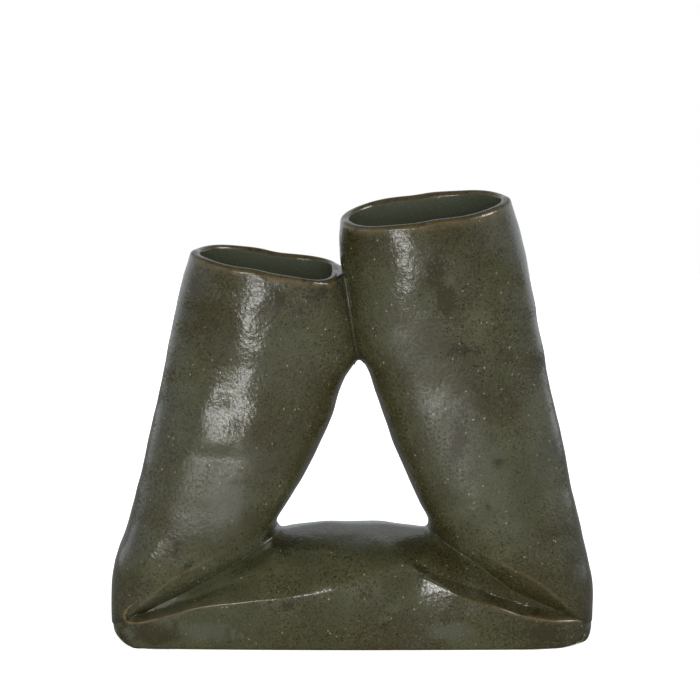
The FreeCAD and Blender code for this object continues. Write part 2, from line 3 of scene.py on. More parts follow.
import bpy
import numpy as np
from bpy.props import FloatProperty, FloatVectorProperty, PointerProperty
from bpy.types import NodeSocket, Operator, Panel, PropertyGroup
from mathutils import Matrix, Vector


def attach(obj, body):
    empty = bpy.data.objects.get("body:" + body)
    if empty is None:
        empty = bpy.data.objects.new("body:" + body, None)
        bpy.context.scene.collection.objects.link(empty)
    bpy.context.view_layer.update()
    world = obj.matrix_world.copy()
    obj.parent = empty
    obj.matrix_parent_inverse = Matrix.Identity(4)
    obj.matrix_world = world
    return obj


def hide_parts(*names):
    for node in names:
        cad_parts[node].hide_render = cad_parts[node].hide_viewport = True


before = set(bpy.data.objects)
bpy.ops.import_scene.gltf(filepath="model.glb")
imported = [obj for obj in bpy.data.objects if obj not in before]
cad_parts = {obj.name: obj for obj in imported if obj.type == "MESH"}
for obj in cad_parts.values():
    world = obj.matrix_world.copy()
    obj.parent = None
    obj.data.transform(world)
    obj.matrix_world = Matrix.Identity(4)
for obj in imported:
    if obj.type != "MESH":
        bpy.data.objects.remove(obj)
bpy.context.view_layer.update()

bl_info = {
    "name": "Pillow vase",
    "version": (1, 0, 0),
    "blender": (4, 5, 0),
    "location": "3D View > Sidebar > Vase",
    "description": "A glazed stoneware pillow vase: a soft tube folded up into two arms",
    "category": "Add Mesh",
}

BODY = "root"
MM = 0.001

# All forms are worked out in millimetres, in the frame of the CAD model: the front is at
# -Y, and the middle plane is y = 0. Times its side's sign, x grows from an arm's outer
# edge to its inner edge.
SIGN = {"left": 1, "right": -1}

# An arm's stations run from its fold to its rim. Each row: outer edge x, z, inner edge
# x, z, half depth, outer and inner squareness.
STATIONS = {
    "left": np.array((
        (-121.6, 9.0, -38.2, 55.2, 33.5, 5.2, 2.2),
        (-121.75, 13.0, -38.2, 57.4, 33.7, 5.0, 2.2),
        (-121.75, 18.5, -37.2, 60.2, 33.9, 4.6, 2.2),
        (-121.6, 26.0, -34.6, 64.6, 34.2, 4.0, 2.2),
        (-120.2, 37.8, -30.0, 72.0, 34.4, 3.4, 2.2),
        (-115.8, 49.2, -25.6, 79.6, 34.3, 3.0, 2.2),
        (-108.8, 75.7, -17.6, 95.6, 33.2, 2.6, 2.15),
        (-102.5, 99.5, -10.6, 112.0, 31.3, 2.4, 2.1),
        (-97.3, 121.6, -3.6, 130.6, 29.2, 2.25, 2.1),
        (-94.6, 136.4, 2.6, 141.0, 28.1, 2.2, 2.1),
        (-89.8, 159.0, 3.6, 158.4, 28.2, 2.15, 2.1),
        (-85.6, 177.8, 0.6, 173.0, 28.9, 2.1, 2.3),
        (-80.7, 194.6, -5.2, 186.2, 29.0, 2.1, 3.3),
    )),
    "right": np.array((
        (121.4, 9.0, 38.2, 55.2, 33.5, 4.2, 2.2),
        (121.5, 13.0, 38.2, 57.6, 33.7, 4.0, 2.2),
        (121.5, 18.5, 37.0, 60.8, 33.9, 3.8, 2.2),
        (121.3, 26.0, 34.2, 66.0, 34.2, 3.6, 2.2),
        (119.4, 37.0, 30.3, 75.4, 34.5, 3.2, 2.2),
        (115.9, 52.7, 25.5, 87.2, 34.2, 2.9, 2.2),
        (110.4, 75.5, 19.2, 103.0, 33.2, 2.6, 2.15),
        (104.9, 102.1, 12.4, 121.9, 31.2, 2.4, 2.1),
        (100.5, 121.0, 7.0, 136.2, 29.4, 2.3, 2.1),
        (97.6, 136.0, 2.0, 144.6, 28.9, 2.2, 2.1),
        (91.6, 163.5, -4.6, 167.6, 28.6, 2.2, 2.1),
        (88.0, 182.5, -6.6, 185.4, 29.4, 2.2, 2.1),
        (84.0, 202.0, -6.3, 200.0, 30.2, 2.2, 2.2),
        (78.4, 221.6, -6.0, 210.8, 30.2, 2.1, 2.4),
    )),
}
# How the creases run, with shares of the fold's length from its outer end: where the
# pinched end lies and how fast the crease dips behind it, the half depth of its valley,
# how far above the fold its ridge stands at most and how crisp that is, and how far the
# valley sags below the fold, as pairs of share and sag.
CREASE = {
    "left": {
        "pinch": 0.112, "fall": 0.055, "valley": 27.6, "ridge": 9.5, "crisp": 1.9,
        "sag": ((0.0, 0.0), (0.12, 0.3), (0.38, 3.0), (0.6, 2.6), (0.82, 1.2), (1.0, 0.0)),
    },
    "right": {
        "pinch": 0.075, "fall": 0.07, "valley": 27.8, "ridge": 9.5, "crisp": 1.35,
        "sag": (
            (0.0, 0.0), (0.1, 1.8), (0.28, 3.6), (0.42, 4.4), (0.6, 2.0), (0.78, -0.6), (1.0, 0.0),
        ),
    },
}
# How far above the fold the ridge stands at the pinched end, how wide it is, and how
# much of the glaze's brown edge shows on it.
LEAST_RIDGE, RIDGE_WIDTH, RIDGE_EDGE = 2.5, 0.9, 0.55

# The base's stations between its folds. Each row: bottom middle x, z; foot x, y, z;
# lip x, y, z; crown x, z; depth behind the lip, reach of the lip's slope, squareness
# of the crown and of the floor's outline.
BASE_STATIONS = np.array((
    (-120.2, 5.4, -116.0, 29.4, 5.6, -110.8, 32.6, 13.4, -36.9, 53.6, 29.0, 0.05, 2.4, 3.4),
    (-117.8, 1.5, -112.3, 33.5, 1.3, -108.2, 34.4, 13.8, -35.6, 52.4, 29.6, 0.10, 2.4, 2.0),
    (-116.2, 0.0, -109.6, 35.2, 0.0, -104.8, 36.4, 14.5, -34.0, 51.8, 30.0, 0.14, 2.4, 1.35),
    (-108.0, 0.0, -103.0, 36.4, 0.0, -96.0, 37.9, 17.0, -30.8, 51.9, 30.8, 0.22, 2.35, 3.0),
    (-88.0, 0.0, -84.0, 37.4, 0.0, -77.0, 38.8, 22.6, -25.4, 52.7, 31.6, 0.32, 2.3, 5.0),
    (-62.0, 0.0, -59.0, 38.2, 0.0, -53.0, 39.2, 25.6, -18.5, 53.7, 33.0, 0.40, 2.15, 5.0),
    (-32.0, 0.0, -31.0, 38.8, 0.0, -28.0, 39.3, 28.5, -10.0, 54.3, 36.2, 0.42, 2.05, 5.0),
    (0.0, 0.0, 0.0, 39.1, 0.0, 0.0, 38.8, 33.0, 0.0, 54.1, 37.6, 0.45, 2.0, 5.0),
    (32.0, 0.0, 31.0, 38.9, 0.0, 30.0, 32.8, 37.2, 10.5, 53.8, 35.4, 0.42, 2.05, 5.0),
    (60.0, 0.0, 57.0, 38.6, 0.0, 53.0, 37.4, 28.4, 19.0, 53.1, 33.0, 0.40, 2.15, 4.5),
    (82.0, 0.0, 78.0, 38.2, 0.0, 72.0, 38.2, 22.0, 26.0, 52.2, 32.0, 0.32, 2.3, 4.0),
    (99.0, 0.0, 93.0, 37.4, 0.0, 88.0, 37.2, 17.0, 31.0, 51.7, 31.0, 0.24, 2.4, 3.2),
    (112.6, 0.0, 106.0, 34.0, 0.0, 102.8, 35.0, 14.2, 34.6, 51.7, 30.0, 0.16, 2.4, 2.5),
    (120.2, 0.0, 112.6, 27.6, 0.0, 111.6, 31.2, 13.2, 36.6, 52.4, 29.4, 0.10, 2.4, 2.3),
    (121.2, 3.6, 115.8, 24.4, 3.4, 115.0, 28.8, 12.4, 37.8, 53.8, 29.0, 0.05, 2.4, 2.3),
))
# Where the left fold, the stations and the right fold lie along the base, from 0 to 1.
BASE_PLACES = np.array((
    0.0, 0.022, 0.042, 0.056, 0.09, 0.17, 0.27, 0.385, 0.5,
    0.615, 0.72, 0.81, 0.885, 0.935, 0.963, 0.98, 1.0,
))
# A half ring of the base has this many points on its floor, foot edge, face and crown.
FLOOR, FOOT, FACE, CROWN = 26, 8, 40, 70
HALF_RING = FLOOR + FOOT + FACE + CROWN
LIP_AT = FLOOR + FOOT + FACE - 1
FOOT_RADIUS = 1.3

# The arms lean on each other in a plane: its x at one height, and how fast x falls. Each
# arm stays a small gap off it and bends over to it round a soft corner.
SEAM_X, SEAM_Z, SEAM_LEAN = 3.1, 140.0, 8.6 / 46.3
SEAM_GAP, SEAM_ROUND = 0.12, 1.2
# The heights of the middle and the top of the patch in which the arms touch.
NECK_MIDDLE, NECK_TOP = 166.0, 185.6

# About the way from an arm's fold to its rim, and the height of the rim's rounding as a
# share of the wall.
ARM_LENGTH, RIM_HEIGHT = 170.0, 0.42
# How much of the glaze's brown edge shows at the rim, from three rings below it, over the
# lip's twelve rings, to two rings down the bore.
LIP_RINGS = 12
RIM_EDGE = np.array((
    0.05, 0.3, 0.7, 1, 0.7, 0.5, 0.4, 0.35, 0.35, 0.4, 0.5, 0.6, 0.8, 1, 1, 0.8, 0.3,
))

# Presses of the hand: where on the skin, how far it reaches along x, y and z, how deep.
DENTS = np.array((
    (-67.0, -33.0, 97.0, 13.0, 25.0, 5.0, 0.7),
    (-69.0, -33.0, 107.0, 14.0, 25.0, 6.0, -0.6),
    (34.0, -30.0, 184.0, 16.0, 25.0, 18.0, -0.6),
    (44.0, -30.0, 138.0, 16.0, 25.0, 20.0, 1.1),
    (112.0, -20.0, 42.0, 7.0, 22.0, 12.0, 0.9),
    (68.0, -40.0, 19.0, 12.0, 22.0, 11.0, -1.0),
))
# Marks, in the same way: where the glaze ran thin and brown; the thick marks, which are
# painted highlights and reflections of the lamps and the pale floor in a lighter grey; and
# where it fired dull. The last number is how strong the mark is.
MARKS = {
    "thin": np.array((
        (-37.2, -28.0, 176.0, 5.0, 12.0, 8.0, 1.0),
        (40.0, -29.0, 190.0, 5.0, 12.0, 11.0, 1.0),
        (46.0, -29.0, 176.0, 6.0, 12.0, 9.0, 1.0),
        (52.0, -31.0, 108.0, 9.0, 12.0, 26.0, 0.6),
        (-97.5, -38.0, 8.0, 17.0, 14.0, 5.5, 1.1),
        (96.0, -36.0, 8.0, 16.0, 14.0, 6.0, 0.9),
    )),
    # The thick marks: painted highlights, lighter grey where the lamps and the floor shine.
    "thick": np.array((
        (-72.0, -38.0, 10.0, 19.0, 14.0, 7.0, 1.0),
        (50.0, -38.0, 10.0, 13.0, 14.0, 6.0, 1.0),
        (-62.0, -33.0, 76.0, 12.0, 14.0, 18.0, 0.9),
        (30.0, -29.0, 200.0, 12.0, 14.0, 14.0, 0.6),
    )),
    "dull": np.array((
        (-70.0, -33.0, 80.0, 26.0, 20.0, 24.0, 1.0),
        (50.0, -31.0, 108.0, 22.0, 20.0, 28.0, 1.0),
        (26.0, -29.0, 152.0, 12.0, 20.0, 14.0, 0.9),
        (-94.0, -33.0, 21.0, 12.0, 9.0, 6.0, 1.2),
    )),
}
# The rolled lip round the left pinch: places on the skin and the bead's radius.
LIP_BEAD = np.array((
    (-104.6, -33.4, 26.4, 0.10),
    (-109.4, -32.6, 22.6, 0.45),
    (-112.8, -31.6, 18.8, 0.95),
    (-113.9, -31.2, 15.6, 1.10),
    (-112.9, -31.8, 13.5, 1.10),
    (-110.4, -33.2, 12.9, 1.00),
    (-106.0, -35.6, 13.7, 0.80),
    (-99.0, -37.3, 15.8, 0.40),
    (-93.0, -37.9, 17.6, 0.05),
))

# The traces of the hand: 12 slow waves and 14 short ones, with their directions, lengths,
# heights and starts.
WAVES = np.random.RandomState(7)
WAVE_WAYS = WAVES.normal(size=(26, 3))
WAVE_WAYS /= np.linalg.norm(WAVE_WAYS, axis=1, keepdims=True)
WAVE_LENGTHS = np.concatenate((WAVES.uniform(34.0, 75.0, 12), WAVES.uniform(12.0, 26.0, 14)))
WAVE_HEIGHTS = np.concatenate((np.full(12, 0.10), np.full(14, 0.035)))
WAVE_STARTS = WAVES.uniform(0.0, 2 * math.pi, 26)

# The glaze's colours where it isn't the green or the brown of the settings, and painted
# light: a grey for painted highlights, a black for pooled glaze and painted shade in the
# creases, and the inside's glaze lightened as painted light.
CREAM = (0.33, 0.25, 0.13)
# A lighter grey for painted highlights.
PAINTED_HIGHLIGHT_GREY = (0.080, 0.083, 0.060)
RIM_BROWN = (0.115, 0.083, 0.036)
# Pooled glaze and painted shade in the creases and at the neck.
POOL_AND_SHADE_BLACK = (0.012, 0.011, 0.005)
# The inside's smooth glaze, lightened as painted light in the mouths.
INSIDE_GLAZE_AND_PAINTED_LIGHT = (0.130, 0.142, 0.094)

# The stage, in metres. Each lamp: place, target, width, height, watts, and what the vase
# takes of its light: only the shine on its glaze, only the light on its body, or both.
MIDDLE = (0.0, 0.0, 0.12)
LAMPS = {
    "low_window": ((-0.12, -0.45, 0.087), (-0.12, 0.0, 0.087), 0.09, 0.075, 0.21, "shine"),
    "far_window": ((-0.46, -1.30, 0.31), MIDDLE, 0.50, 0.22, 4.0, "shine"),
    "side_window": ((0.99, -0.33, 0.90), MIDDLE, 0.50, 0.50, 8.0, "shine"),
    "front_fill": ((0.15, -2.0, 0.45), MIDDLE, 2.6, 0.8, 19.0, "body"),
    "table_bounce": ((0.0, -0.42, 0.01), (0.0, 0.0, 0.03), 0.6, 0.2, 2.0, "body"),
    "overhead": ((0.0, 1.20, 0.90), MIDDLE, 1.0, 0.5, 0.6, "both"),
    "rear_fill": ((0.0, 2.0, 0.5), MIDDLE, 2.4, 0.8, 16.0, "body"),
    "top_fill": ((0.0, -0.1, 1.4), MIDDLE, 1.4, 1.0, 6.5, "body"),
}
FLOOR_SIDE, FLOOR_BACK = 2.5, 0.9
CAMERA_LENS, CAMERA_DISTANCE = 164.6, 1.6
CAMERA_LIFT = math.radians(12.8)
CAMERA_TARGET = Vector((-0.00125, 0.0, 0.145))


def spline(knots, rows, places):
    """A smooth curve through the rows: on each span a cubic whose slopes at the knots are
    the weighted means of the slopes of the two spans that meet there."""
    rows = np.asarray(rows, float)
    shape = (-1,) + (1,) * (rows.ndim - 1)
    step = np.diff(knots).reshape(shape)
    slope = np.diff(rows, axis=0) / step
    inner = (slope[:-1] * step[1:] + slope[1:] * step[:-1]) / (step[:-1] + step[1:])
    slopes = np.concatenate((slope[:1], inner, slope[-1:]))
    index = np.clip(np.searchsorted(knots, places, side="right") - 1, 0, len(knots) - 2)
    width = (knots[index + 1] - knots[index]).reshape(shape)
    t = (places - knots[index]).reshape(shape) / width
    low, high = rows[index], rows[index + 1]
    from_low, from_high = slopes[index] * width, slopes[index + 1] * width
    rise = t * t * (3 - 2 * t)
    return low + (high - low) * rise + from_low * t * (1 - t) ** 2 - from_high * t * t * (1 - t)


def smooth_step(x):
    """0 up to x = 0, 1 from x = 1, and a smooth rise between them."""
    x = np.clip(x, 0.0, 1.0)
    return x * x * (3 - 2 * x)


def bell(x, middle, width):
    """A round bell: 1 at the middle, and a third of that at the width away from it."""
    return np.exp(-(((x - middle) / width) ** 2))


def bells(points, table):
    """The sum of the table's round bells at the points: each as high as its last number."""
    away = (points[..., None, :] - table[:, :3]) / table[:, 3:6]
    return (np.exp(-(away**2).sum(axis=-1)) * table[:, 6]).sum(axis=-1)


def unit(vectors):
    """The vectors, each at length 1."""
    return vectors / (np.linalg.norm(vectors, axis=-1, keepdims=True) + 1e-9)


def quarter(g, n):
    """A quarter of a superellipse of squareness n, from (1, 0) to (0, 1): the point of the
    straight line 1 - g, g moved out from the centre until x**n + y**n = 1."""
    size = ((1 - g) ** n + g**n) ** (1 / n)
    return (1 - g) / size, g / size


def soft_least(a, b, width):
    """The lesser of a and b, with the corner between them rounded over the width."""
    share = np.clip(0.5 + 0.5 * (b - a) / width, 0.0, 1.0)
    return b + (a - b) * share - width * share * (1 - share)


def seam_x(z):
    """The x of the plane in which the arms lean on each other."""
    return SEAM_X - (z - SEAM_Z) * SEAM_LEAN


def half_section(g, outer_square, inner_square):
    """Half of an arm's section: along the width from -1 at the outer edge to 1 at the inner
    edge, and the depth from 0 to 1 and back. g runs from 0 to 2."""
    outer = quarter(np.clip(g, 0, 1), outer_square)
    inner = quarter(np.clip(2 - g, 0, 1), inner_square)
    return np.where(g < 1, -outer[0], inner[0]), np.where(g < 1, outer[1], inner[1])


def fold_curve(side, g):
    """The front half of the line in which an arm meets the base. It is the arm's own first
    section, drawn in to the valley behind the pinched end and sunk below the fold's line."""
    crease = CREASE[side]
    ox, oz, ix, iz, depth, outer_square, inner_square = STATIONS[side][0]
    along, deep = half_section(g, outer_square, inner_square)
    share = (along + 1) / 2
    dip = smooth_step((share - crease["pinch"]) / crease["fall"]) * smooth_step((1 - share) / 0.06)
    y = deep * depth
    y = y - np.clip(y - crease["valley"], 0, None) * dip
    # The sag fades out over the last 12 mm to the middle plane.
    places, sags = np.array(crease["sag"]).T
    sag = spline(places, sags, share) * smooth_step(y / 12.0)
    run, rise = ix - ox, iz - oz
    length = math.hypot(run, rise)
    x = ox + run * share + rise / length * sag * SIGN[side]
    z = oz + rise * share - abs(run) / length * sag
    return np.stack((x, -y, z), axis=-1)


def pinch_place(side):
    """Where on its fold's half section, from 0 to 2, a crease's pinched end lies."""
    g = np.linspace(0, 1, 2001)
    along, _ = half_section(g, *STATIONS[side][0, 5:7])
    return float(g[np.searchsorted((along + 1) / 2, CREASE[side]["pinch"])])


def base_end(side):
    """The base's half ring at a fold, which is the fold's own line: the points of the
    floor, the foot's edge and the face lie below the pinched end, the crown's above it."""
    pinch = pinch_place(side)
    foot, face = pinch * 0.80, pinch * 0.86
    spans = [np.linspace(0.0, foot, FLOOR)]
    for start, end, count in ((foot, face, FOOT), (face, pinch, FACE), (pinch, 2.0, CROWN)):
        spans.append(np.linspace(start, end, count + 1)[1:])
    return fold_curve(side, np.concatenate(spans))


def mirrored(half):
    """A closed ring out of a front half that runs from one middle point to the other."""
    back = half[..., -2:0:-1, :] * np.array((1.0, -1.0, 1.0))
    return np.concatenate((half, back), axis=-2)


def grid_normals(grid):
    """Outward normals of a grid of rings, from the differences between neighbours."""
    around = np.roll(grid, -1, axis=1) - np.roll(grid, 1, axis=1)
    normal = unit(np.cross(around, np.gradient(grid, axis=0)))
    centre = grid.mean(axis=1, keepdims=True)
    return normal * np.sign((normal * (grid - centre)).sum())


def lumps(points):
    """Height of the hand's traces on the clay: the sum of all waves."""
    phases = points @ (WAVE_WAYS / WAVE_LENGTHS[:, None]).T * 2 * math.pi + WAVE_STARTS
    return (np.sin(phases) * WAVE_HEIGHTS).sum(axis=-1)


def worked(skin, fade):
    """The skin with the hand's traces and presses, which fade out where the fade is 0."""
    height = (lumps(skin) - bells(skin, DENTS)) * fade
    return skin + grid_normals(skin) * height[..., None]


def shrink(grid, centre, wall):
    """The inner skin: every point drawn towards the middle of its ring by the wall."""
    ray = grid - centre
    length = np.linalg.norm(ray, axis=-1, keepdims=True)
    return centre + ray * np.clip(1 - wall / length, 0.05, 1)


def arm_rings(side, rows=230, half_columns=130):
    """The skin of an arm as rings from its fold to its rim. Each is the section between
    the outer and inner edge there; above the fold it is drawn over to the fold's own line,
    the less the farther up, which turns the crease in. Also the middles of the rings,
    their places from 0 to 1, and how close each point is to the ridge over the crease."""
    stations, crease = STATIONS[side], CREASE[side]
    middles = (stations[:, 0:2] + stations[:, 2:4]) / 2
    gaps = np.linalg.norm(np.diff(middles, axis=0), axis=1)
    knots = np.concatenate(((0.0,), np.cumsum(gaps)))
    # The rings stand closer near the fold, where the crease turns in.
    places = np.linspace(0, 1, rows) ** 1.7
    columns = spline(knots / knots[-1], stations, places).T
    ox, oz, ix, iz, depth, outer_square, inner_square = (column[:, None] for column in columns)
    g = np.linspace(0, 2, half_columns)[None, :]
    along, deep = half_section(g, outer_square, inner_square)
    share = (along + 1) / 2
    x, z = ox + (ix - ox) * share, oz + (iz - oz) * share
    natural = np.stack((x, -deep * depth, z), axis=-1)
    shift = fold_curve(side, g[0]) - natural[0]
    away = np.linalg.norm(natural - natural[:1], axis=-1)
    opening = smooth_step((share - crease["pinch"]) / 0.3)
    reach = LEAST_RIDGE + (crease["ridge"] - LEAST_RIDGE) * opening
    near, crisp = np.clip(1 - away / reach, 0, 1), crease["crisp"]
    pull = 1 - (1 - near**crisp) ** (1 / crisp) if side == "left" else near**crisp
    skin = mirrored(natural + shift[None] * pull[..., None])
    middle = np.concatenate(((ox + ix) / 2, np.zeros_like(ox), (oz + iz) / 2), axis=-1)
    ridge = bell(away, reach, RIDGE_WIDTH)
    ridge *= smooth_step(share / 0.15) * smooth_step((0.8 - share) / 0.3)
    ridge = np.concatenate((ridge, ridge[:, -2:0:-1]), axis=1)
    return skin, middle[:, None, :], places, ridge


def rim_wave(side, rim):
    """How far the rim, which was cut by hand, rises at each of its points. The left one
    hangs low towards the neck, and the right one rises a little at the back."""
    turn = np.linspace(0, 2 * math.pi, len(rim), endpoint=False)
    small = 0.22 * np.sin(5 * turn + 0.6) + 0.16 * np.sin(9 * turn + 2.0)
    x, y = rim[:, 0], rim[:, 1]
    share = (x - x[0]) / (x[len(rim) // 2] - x[0])
    if side == "left":
        front = np.clip(0.5 - y / 20.0, 0, 1)
        tilt = 0.4 * y / 29.0 - 0.8
        return small + tilt - 2.0 * bell(share, 0.74, 0.36) - 1.3 * front * bell(share, 0.93, 0.16)
    back = np.clip(0.5 + y / 30.0, 0, 1)
    tilt = 2.0 * y / 30.0 - 1.1
    return small + tilt + 0.6 * back * bell(share, 0.62, 0.3)


def rim_lip(skin, inner, wall):
    """The rim's rounding: half an ellipse from the skin's edge over to the bore's edge."""
    swing = np.linspace(0, math.pi, LIP_RINGS + 2)[1:-1, None, None]
    centre, radius = (skin[-1] + inner[-1]) / 2, (skin[-1] - inner[-1]) / 2
    up = unit(skin[-1] - skin[-6])
    return centre + radius * np.cos(swing) + up * np.sin(swing) * wall * RIM_HEIGHT


def make_arm(side, settings):
    """One arm: its skin, its rounded rim and its bore, cut flat where the arms lean. The
    hand's traces fade out at the fold and are weaker at the rim, and the rim's waves reach
    down over the top of the arm. Just above the fold the glaze is darker: pooled glaze and
    painted shade in the crease. The bore is lightened as painted light."""
    skin, middle, places, ridge = arm_rings(side)
    from_fold = places[:, None] * ARM_LENGTH
    from_rim = ARM_LENGTH - from_fold
    fade = smooth_step(from_fold / 14.0) * (0.35 + 0.65 * smooth_step(from_rim / 12.0))
    skin = worked(skin, fade)
    skin[..., 2] += rim_wave(side, skin[-1]) * smooth_step((places[:, None] - 0.84) / 0.16)
    sign = SIGN[side]
    seam = sign * seam_x(skin[..., 2]) - SEAM_GAP
    skin[..., 0] = sign * soft_least(sign * skin[..., 0], seam, SEAM_ROUND)
    wall = settings.wall / MM
    inner = shrink(skin, middle, wall)
    rings = np.concatenate((skin, rim_lip(skin, inner, wall), inner[::-1]))
    rim, bore = len(skin), len(skin) + LIP_RINGS
    edge, pooled_glaze_and_shade, inside = np.zeros((3, *rings.shape[:2]))
    edge[:rim] = ridge * RIDGE_EDGE
    edge[rim - 3 : bore + 2] = RIM_EDGE[:, None]
    # Darker just above the fold: pooled glaze and painted shade in the crease.
    pooled_glaze_and_shade[:rim] = np.clip(1 - from_fold / 5.0, 0, 1)
    # The bore: its glaze lightened as painted light.
    inside[bore:] = 1
    made = ring_object(f"{side}_arm_clay", rings, {
        "edge": edge, "pooled_glaze_and_shade": pooled_glaze_and_shade, "inside": inside, **glaze_marks(rings),
    })
    sharpen(made, rings, (0, len(rings) - 1))
    return made


def base_rings(rows=300):
    """The skin of the base as rings between its folds. Each half ring runs over the floor
    from the middle to the foot, round the foot's edge, up the face to the lip, and over
    the crown. The rings are joined by smooth curves from station to station. Also the
    middles of the rings and their places from 0 to 1."""
    columns = BASE_STATIONS[:, :, None].transpose(1, 0, 2)
    bx, bz, fx, fy, fz, lx, ly, lz, cx, cz, deep, reach, crown_square, floor_square = columns
    near, far = quarter(np.linspace(0, 1, FLOOR)[None, :], floor_square)
    floor = np.stack((
        fx + (bx - fx) * near, (fy - FOOT_RADIUS) * far, fz + (bz - fz) * near,
    ), axis=-1)
    near, far = quarter(np.linspace(0, 1, FOOT + 1)[None, 1:], 2.0)
    foot = np.stack((
        np.repeat(fx, FOOT, axis=1), fy - FOOT_RADIUS * near, fz + FOOT_RADIUS * (1 - near),
    ), axis=-1)
    u = np.linspace(0, 1, FACE + 1)[None, 1:]
    bulge = 0.9 * np.clip((lz - 13) / 20, 0, 1) * 4 * u * (1 - u)
    foot_top = fz + FOOT_RADIUS
    face = np.stack((
        fx + (lx - fx) * smooth_step(u), fy + (ly - fy) * u + bulge, foot_top + (lz - foot_top) * u,
    ), axis=-1)
    back, q = quarter(np.linspace(0, 1, CROWN + 1)[None, 1:], crown_square)
    slope = np.clip(1 - q / reach, 0, 1) ** 1.25
    crown = np.stack((
        lx + (cx - lx) * q, deep * back + (ly - deep) * slope, lz + (cz - lz) * q,
    ), axis=-1)
    halves = np.concatenate((floor, foot, face, crown), axis=1)
    halves[..., 1] *= -1
    halves = np.concatenate((base_end("left")[None], halves, base_end("right")[None]))
    # The rings stand closer near the folds.
    places = np.linspace(0, 1, rows)
    places = places - 0.075 * np.sin(2 * math.pi * places)
    skin = mirrored(spline(BASE_PLACES, halves, places))
    middle = (skin[:, :1] + skin[:, HALF_RING - 1 : HALF_RING]) / 2
    middle[..., 1] = 0
    return skin, middle, places


def make_base(settings):
    """The base pillow on its floor: one closed shell, open at both folds. The hand's traces
    fade out at the foot and the folds. The glaze breaks brown over the lips near the folds,
    the creases are darker with pooled glaze and painted shade, and the foot is bare."""
    skin, middle, places = base_rings()
    from_fold = np.minimum(places, 1 - places)[:, None]
    skin = worked(skin, smooth_step(skin[..., 2] / 9.0) * smooth_step(from_fold / 0.05))
    skin[..., 2] = np.clip(skin[..., 2], 0.0, None)
    inner = shrink(skin, middle, settings.wall / MM)
    rings = np.concatenate((skin, inner[::-1]))
    end = len(skin)
    in_half = np.concatenate((np.arange(HALF_RING), np.arange(HALF_RING - 2, 0, -1)))
    edge, pooled_glaze_and_shade, bare = np.zeros((3, *rings.shape[:2]))
    edge[:end] = bell(in_half, LIP_AT, 2.2) * (1 - smooth_step((from_fold - 0.08) / 0.25))
    # Darker near the folds above the lips: pooled glaze and painted shade in the creases.
    pooled_glaze_and_shade[:end] = np.clip(1 - from_fold / 0.02, 0, 1) * (in_half > LIP_AT)
    bare[:end] = (in_half < FLOOR + FOOT) * (skin[..., 2] < 0.3)
    made = ring_object("base_clay", rings, {
        "edge": edge, "pooled_glaze_and_shade": pooled_glaze_and_shade, "bare": bare, **glaze_marks(rings),
    })
    sharpen(made, rings, (0, end - 1, end, len(rings) - 1))
    return made


def glaze_marks(rings):
    """How strong each kind of mark is at the points: marks in the glaze, and the painted
    highlights of the thick marks.
    """
    return {name: bells(rings, table) for name, table in MARKS.items()}


def ring_object(name, rings, attributes):
    """A closed mesh of rings, in millimetres, the last of which meets the first, with a
    value per point for each attribute. Its faces are smooth and turned outwards."""
    rows, columns = rings.shape[:2]
    i, j = np.meshgrid(np.arange(rows), np.arange(columns), indexing="ij")
    up, beside = (i + 1) % rows, (j + 1) % columns
    corners = (i * columns + j, up * columns + j, up * columns + beside, i * columns + beside)
    quads = np.ascontiguousarray(np.stack(corners, axis=-1).reshape(-1, 4), dtype=np.int32)
    points = np.ascontiguousarray(rings.reshape(-1, 3) * MM, dtype=np.float32)
    mesh = bpy.data.meshes.new(name)
    mesh.vertices.add(len(points))
    mesh.vertices.foreach_set("co", points.ravel())
    mesh.loops.add(quads.size)
    mesh.loops.foreach_set("vertex_index", quads.ravel())
    mesh.polygons.add(len(quads))
    mesh.polygons.foreach_set("loop_start", np.arange(0, quads.size, 4, dtype=np.int32))
    mesh.update(calc_edges=True)
    mesh.shade_smooth()
    for key, values in attributes.items():
        layer = mesh.attributes.new(key, "FLOAT", "POINT")
        layer.data.foreach_set("value", np.ascontiguousarray(values, dtype=np.float32).ravel())
    mesh.validate()
    # The volume of a closed mesh comes out negative when its faces are turned inwards.
    a, b, c = points[quads[:, :3]].astype(float).transpose(1, 0, 2)
    d = points[quads[:, 3]].astype(float)
    if (a * (np.cross(b, c) + np.cross(c, d))).sum() < 0:
        mesh.flip_normals()
    made = bpy.data.objects.new(name, mesh)
    bpy.context.scene.collection.objects.link(made)
    return made


def sharpen(made, rings, ends):
    """Marks the rings at which a shell's skins end as sharp edges, so that the glaze runs
    on smoothly over the folds."""
    mesh = made.data
    pairs = np.empty(len(mesh.edges) * 2, dtype=np.int32)
    mesh.edges.foreach_get("vertices", pairs)
    ring = pairs.reshape(-1, 2) // rings.shape[1]
    on_end = np.isin(ring[:, 0], ends) & (ring[:, 0] == ring[:, 1])
    attributes = mesh.attributes
    sharp = attributes.get("sharp_edge") or attributes.new("sharp_edge", "BOOLEAN", "EDGE")
    sharp.data.foreach_set("value", on_end)


def make_bead(name, path, radius, edge=0.0):
    """A bead of slip: circles of the given radii carried along a closed path."""
    along = unit(np.roll(path, -1, axis=0) - np.roll(path, 1, axis=0))
    side = np.cross(along, (0.0, 1.0, 0.0))
    weak = np.linalg.norm(side, axis=-1, keepdims=True) < 0.2
    side = unit(np.where(weak, np.cross(along, (1.0, 0.0, 0.0)), side))[:, None]
    up = np.cross(side, along[:, None])
    turn = np.linspace(0, 2 * math.pi, 12, endpoint=False)[None, :, None]
    rings = path[:, None] + radius[:, None, None] * (side * np.cos(turn) + up * np.sin(turn))
    shape = rings.shape[:2]
    return ring_object(name, rings, {
        # Darker where no brown edge shows: pooled glaze and painted shade in the folds.
        "pooled_glaze_and_shade": np.full(shape, 0.2 - 0.2 * edge), "edge": np.full(shape, edge),
    })


